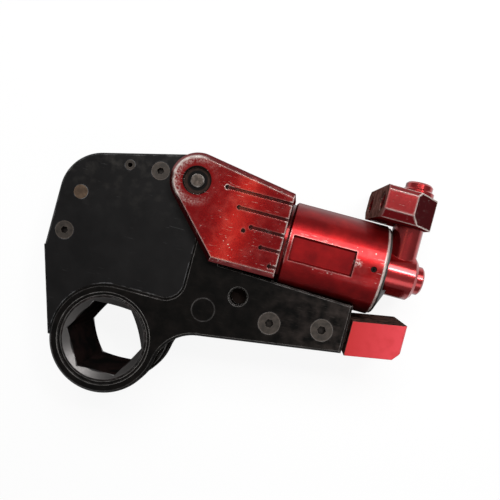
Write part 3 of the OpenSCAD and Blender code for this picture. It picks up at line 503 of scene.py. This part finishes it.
def black_steel():
    """The side plates and their flush pin: scuffed and rubbed towards the arm's rear, with worn edges."""
    f = Finish("black_steel", specular=0.06)
    rear = f.along("X", *ARM_REAR_X)
    scuffs = f.times(f.patches(7.0, 0.38, 0.7, detail=5.0), f.blend(rear, 0.12, 1.0))
    rubs = f.times(f.scratches(turn=-12.0, size=0.7, stretch=9.0, low=0.6, high=0.72),
                   f.blend(rear, 0.1, 0.8))
    black = f.mix(scuffs, BLACK_CLEAN, BLACK_SCUFFED)
    black = f.mix(rubs, black, BLACK_RUBBED)
    worn = f.times(f.edge(0.9), f.blend(f.patches(5.0, 0.35, 0.6), 0.35, 1.0),
                   f.blend(f.from_axis(HOLDING_PIN, *ROUND_HOLDING_PIN), 0.3, 1.0),
                   f.blend(f.ring(HEXAGON, *NOSE_RIM), 1.0, 0.4))
    f.colour(f.mix(worn, black, BLACK_WORN))
    f.roughness(2.0, 0.34, 0.5)
    f.matt(f.walls())
    f.grain(0.6, 0.1)
    return f


def black_shroud():
    """The shroud: matt black with a little dust at its top, long scratches and worn edges."""
    f = Finish("black_shroud", specular=0.14)
    dust = f.times(f.patches(6.0, 0.5, 0.8, detail=5.0), f.along("Y", *SHROUD_TOP_Y), f.level(0.3, 0.7))
    lines = f.times(f.scratches(turn=-28.0, size=0.4, stretch=25.0, low=0.70, high=0.76),
                    f.patches(18.0, 0.5, 0.6))
    worn = f.times(f.edge(0.9), f.patches(6.0, 0.42, 0.62), f.level(0.4, 0.8))
    black = f.mix(f.patches(14.0, 0.35, 0.7, detail=4.0), SHROUD_DARK, SHROUD_LIGHT)
    black = f.mix(dust, black, SHROUD_DUST)
    black = f.mix(lines, black, SHROUD_LINES)
    f.colour(f.mix(worn, black, SHROUD_WORN))
    f.roughness(3.0, 0.42, 0.65)
    f.matt(f.walls())
    f.grain(0.7, 0.12)
    return f


def red_paint():
    """The reaction pad: paint that fades towards its end, scraped steel on its top and in the arm, with
    painted shade deeper in between the plates.
    """
    f = Finish("red_paint")
    faded = f.along("X", PAD_START_X, PAD_START_X + 32.0)
    deeper = f.times(f.patches(5.0, 0.45, 0.7, detail=5.0), 0.4)
    chips = f.times(f.edge(1.2, 0.05, 0.2), f.patches(2.0, 0.48, 0.6, detail=5.0))
    paint = f.mix(faded, PAINT_DEEP, PAINT_FADED)
    paint = f.mix(deeper, paint, PAINT_DEEP)
    paint = f.mix(chips, paint, PAINT_CHIP)
    scraped = f.mix(f.patches(3.0, 0.4, 0.7, detail=5.0), SCRAPED_DARK, SCRAPED_LIGHT)
    # Painted shade on the part that reaches in between the plates
    scraped = f.mix(f.along("X", PAD_START_X - 2.0, PAD_START_X - 4.0), scraped, PAINTED_SHADE)
    unpainted = f.either(f.along("X", PAD_START_X + 0.4, PAD_START_X + 0.1), f.looking("Y", 0.5, 0.8))
    f.colour(f.mix(unpainted, paint, scraped))
    f.roughness(1.5, 0.36, 0.58)
    f.matt(unpainted)
    f.grain(0.8, 0.1)
    return f


def hexagon_steel():
    """The ratchet's hexagon piece: dark walls, a bright lead-in and rubbed outer edges."""
    f = Finish("hexagon_steel", specular=0.15)
    outside = f.outward(LEAD_IN_Z, LEAD_IN_Z + 0.4)
    lead_in = f.times(outside, f.from_axis(HEXAGON, LEAD_IN_RADIUS + 0.4, LEAD_IN_RADIUS))
    rubbed = f.times(f.edge(0.5), f.patches(3.0, 0.4, 0.65), outside)
    base = f.mix(f.patches(9.0, 0.4, 0.65, detail=2.0), BORE_DARK, BORE_STAINED)
    base = f.mix(lead_in, base, LEAD_IN_BRIGHT)
    f.colour(f.mix(rubbed, base, HEXAGON_WORN))
    f.set("Metallic", f.blend(lead_in, 0.0, 0.95))
    f.roughness(1.5, 0.34, 0.52)
    f.matt(f.level(0.4, 0.1))
    f.grain(0.5, 0.08)
    return f


def black_pin():
    """The link pin: black in the middle of its ends and worn brown round them."""
    f = Finish("black_pin", specular=0.08)
    worn = f.times(f.from_axis(LINK_PIN, *PIN_BORDER), f.blend(f.patches(2.0, 0.3, 0.6), 0.4, 1.0))
    base = f.mix(worn, PIN_BLACK, PIN_WORN)
    f.colour(f.mix(f.times(f.edge(0.5), 0.5), base, PIN_EDGE))
    f.roughness(0.8, 0.5, 0.65)
    return f


def spindle_steel():
    """The spindle in the link pin: stained steel with a painted highlight round its rim."""
    f = Finish("spindle_steel")
    base = f.mix(f.patches(2.0, 0.35, 0.65, detail=4.0), SPINDLE_DARK, SPINDLE_LIGHT)
    # Painted highlight round the rim
    rim = f.times(f.from_axis(LINK_PIN, SPINDLE_RADIUS - 0.8, SPINDLE_RADIUS - 0.4),
                  f.patches(3.0, 0.3, 0.6))
    f.colour(f.mix(rim, base, SPINDLE_RIM_HIGHLIGHT))
    f.set("Metallic", f.blend(rim, 0.7, 0.1))
    f.roughness(0.8, 0.35, 0.5)
    return f


def steel(name, dark, light, rough, wear, metallic=0.95, specular=0.5):
    """Plain machined metal with soft stains, rubbed edges and painted shade in recesses."""
    f = Finish(name, metallic, specular)
    polished = tuple(min(1.0, 3.0 * share) for share in light)
    base = f.mix(f.patches(3.0, 0.35, 0.7, detail=4.0), dark, light)
    base = f.mix(f.times(f.edge(0.5), wear), base, polished)
    # Painted shade in recesses and where little light comes in
    shaded_hollows = f.either(f.shadowed(8.0), f.ramp(f.shade(3.0), 0.75, 0.45))
    f.colour(f.mix(shaded_hollows, base, PAINTED_SHADE))
    f.roughness(0.8, *rough)
    return f


def rubber():
    """Black rubber of the seals."""
    f = Finish("seal_rubber")
    f.colour(RUBBER_BLACK)
    f.roughness(1.0, 0.5, 0.7)
    return f


def resin():
    """Mottled resin of the wear ring."""
    f = Finish("guide_resin")
    f.colour(f.mix(f.noise(0.6), RESIN_DARK, RESIN_LIGHT))
    f.set("Roughness", 0.6)
    return f


def squeezed_springs():
    """A copy of the pawl springs with its own mesh, hung on the lever in place of the stiff ones."""
    made = bpy.data.objects.new("drive_pawl_springs", nodes["pawl_springs"].data.copy())
    bpy.context.scene.collection.objects.link(made)
    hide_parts("pawl_springs")
    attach(made, "lever")
    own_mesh(made)


def lamp(name, at, aim, size, power, colour=WHITE):
    """Soft oblong lamp at one place, aimed at another."""
    data = bpy.data.lights.new(name, "AREA")
    data.shape = "RECTANGLE"
    data.size = size[0] * MM
    data.size_y = size[1] * MM
    data.energy = power
    data.color = colour
    made = bpy.data.objects.new(name, data)
    made.location = Vector(at) * MM
    made.rotation_euler = (Vector(aim) - Vector(at)).to_track_quat("-Z", "Y").to_euler()
    bpy.context.scene.collection.objects.link(made)


def floor():
    """White floor that still takes the wrench's shadow."""
    place = Vector((*FLOOR_AT, FLOOR_Z - FLOOR_GAP)) * MM
    bpy.ops.mesh.primitive_plane_add(size=FLOOR_SIZE * MM, location=place)
    made = bpy.context.object
    made.name = "floor"
    f = Finish("pale_floor")
    f.colour(FLOOR_WHITE)
    f.set("Roughness", 0.9)
    path = f.add("ShaderNodeLightPath").outputs
    seen = f.either(path["Is Camera Ray"], path["Is Glossy Ray"], path["Is Transmission Ray"])
    glow = f.add("ShaderNodeEmission", {"Color": WHITE, "Strength": 1.0})
    both = f.add("ShaderNodeMixShader", {
        "Fac": f.times(seen, FLOOR_GLOW),
        1: f.shader.outputs["BSDF"],
        2: glow.outputs["Emission"],
    })
    f.feed(f.tree.nodes["Material Output"].inputs["Surface"], both.outputs["Shader"])
    made.data.materials.append(f.material)


def world():
    """Room that is lighter overhead than at the horizon."""
    made = bpy.data.worlds.new("studio")
    made.use_nodes = True
    tree = made.node_tree
    background = tree.nodes["Background"]
    background.inputs["Color"].default_value = (*WHITE, 1.0)
    place = tree.nodes.new("ShaderNodeTexCoord")
    split = tree.nodes.new("ShaderNodeSeparateXYZ")
    rise = tree.nodes.new("ShaderNodeMapRange")
    limits = {
        "From Min": HORIZON_Z,
        "From Max": OVERHEAD_Z,
        "To Min": HORIZON_LIGHT,
        "To Max": OVERHEAD_LIGHT,
    }
    for name, limit in limits.items():
        rise.inputs[name].default_value = limit
    tree.links.new(place.outputs["Generated"], split.inputs["Vector"])
    tree.links.new(split.outputs["Z"], rise.inputs["Value"])
    tree.links.new(rise.outputs["Result"], background.inputs["Strength"])
    bpy.context.scene.world = made


def camera():
    """Camera at the photograph's viewing angle."""
    data = bpy.data.cameras.new("camera")
    data.lens = CAMERA_LENS
    data.shift_x, data.shift_y = CAMERA_SHIFT
    data.clip_start = CAMERA_NEAR * MM
    made = bpy.data.objects.new("camera", data)
    made.location = Vector(CAMERA_AT) * MM
    made.rotation_euler = (0.0, 0.0, math.radians(CAMERA_TURN))
    bpy.context.scene.collection.objects.link(made)
    bpy.context.scene.camera = made


# Outer pieces, and inner ones that share their finishes
dress(red_body(), "cylinder_body")
dress(red_block(), "swivel_block")
dress(red_hub(), "swivel_hub", "swivel_cap", "hub_nut")
dress(black_steel(), "side_plate_front", "side_plate_back", "holding_pawl_pin")
dress(black_shroud(), "shroud_front", "shroud_back", "shroud_rim")
dress(red_paint(), "reaction_pad")
dress(hexagon_steel(), "hex_ratchet")
dress(black_pin(), "link_pin")
dress(spindle_steel(), "pin_spindle")
dress(steel("dark_screws", dark=(0.030, 0.025, 0.021), light=(0.060, 0.048, 0.040),
            rough=(0.42, 0.6), wear=0.4, metallic=0.6),
      "shroud_screws", "shroud_roll_pins", "arm_screws", "piston_nut")
dress(steel("plug_steel", dark=(0.10, 0.09, 0.085), light=(0.22, 0.20, 0.19),
            rough=(0.35, 0.5), wear=0.4),
      "gallery_plugs")
dress(steel("old_bronze", dark=(0.06, 0.038, 0.024), light=(0.12, 0.078, 0.05),
            rough=(0.4, 0.6), wear=0.3, metallic=0.6),
      "shroud_rivet")
dress(steel("oiled_steel", dark=(0.007, 0.006, 0.005), light=(0.018, 0.015, 0.013),
            rough=(0.4, 0.6), wear=0.5, metallic=0.2),
      "end_cap", "lever_plate_front", "lever_plate_back", "lever_rivets")
dress(steel("black_screw", dark=(0.003, 0.0026, 0.0022), light=(0.008, 0.007, 0.006),
            rough=(0.5, 0.65), wear=0.3, metallic=0.0, specular=0.08),
      "end_cap_screw")

# Inner pieces
dress(steel("ground_steel", dark=(0.22, 0.205, 0.19), light=(0.36, 0.34, 0.315),
            rough=(0.3, 0.46), wear=0.5),
      "holding_pawl", "lever_pin", "pawl_housing", "drive_pawl", "piston", "rod_end")
dress(steel("spring_wire", dark=(0.25, 0.25, 0.26), light=(0.4, 0.4, 0.41),
            rough=(0.25, 0.4), wear=0.3),
      "holding_pawl_spring", "pawl_springs")
dress(steel("hard_chrome", dark=(0.7, 0.71, 0.73), light=(0.8, 0.81, 0.82),
            rough=(0.06, 0.14), wear=0.2),
      "piston_rod")
dress(steel("bronze", dark=(0.4, 0.27, 0.12), light=(0.55, 0.39, 0.19),
            rough=(0.25, 0.4), wear=0.3),
      "rod_gland")
dress(resin(), "wear_ring")
dress(rubber(), "rod_wiper", "rod_seal", "piston_seal", "end_cap_ring", "hub_seals", "block_seals")
squeezed_springs()

floor()
world()
camera()
lamp("key", at=(110, 445, 530), aim=(110, 80, 10), size=(520, 280), power=3.9)
lamp("hub_light", at=(300, 320, 520), aim=(170, 82, 15), size=(110, 46), power=0.8)
lamp("fill", at=(290, -215, 470), aim=(160, 80, 10), size=(300, 200), power=0.36)
lamp("ear_light", at=(-20, 100, 600), aim=(40, 92, 0), size=(260, 24), power=0.042, colour=WARM)
bpy.context.scene.view_settings.view_transform = "Standard"
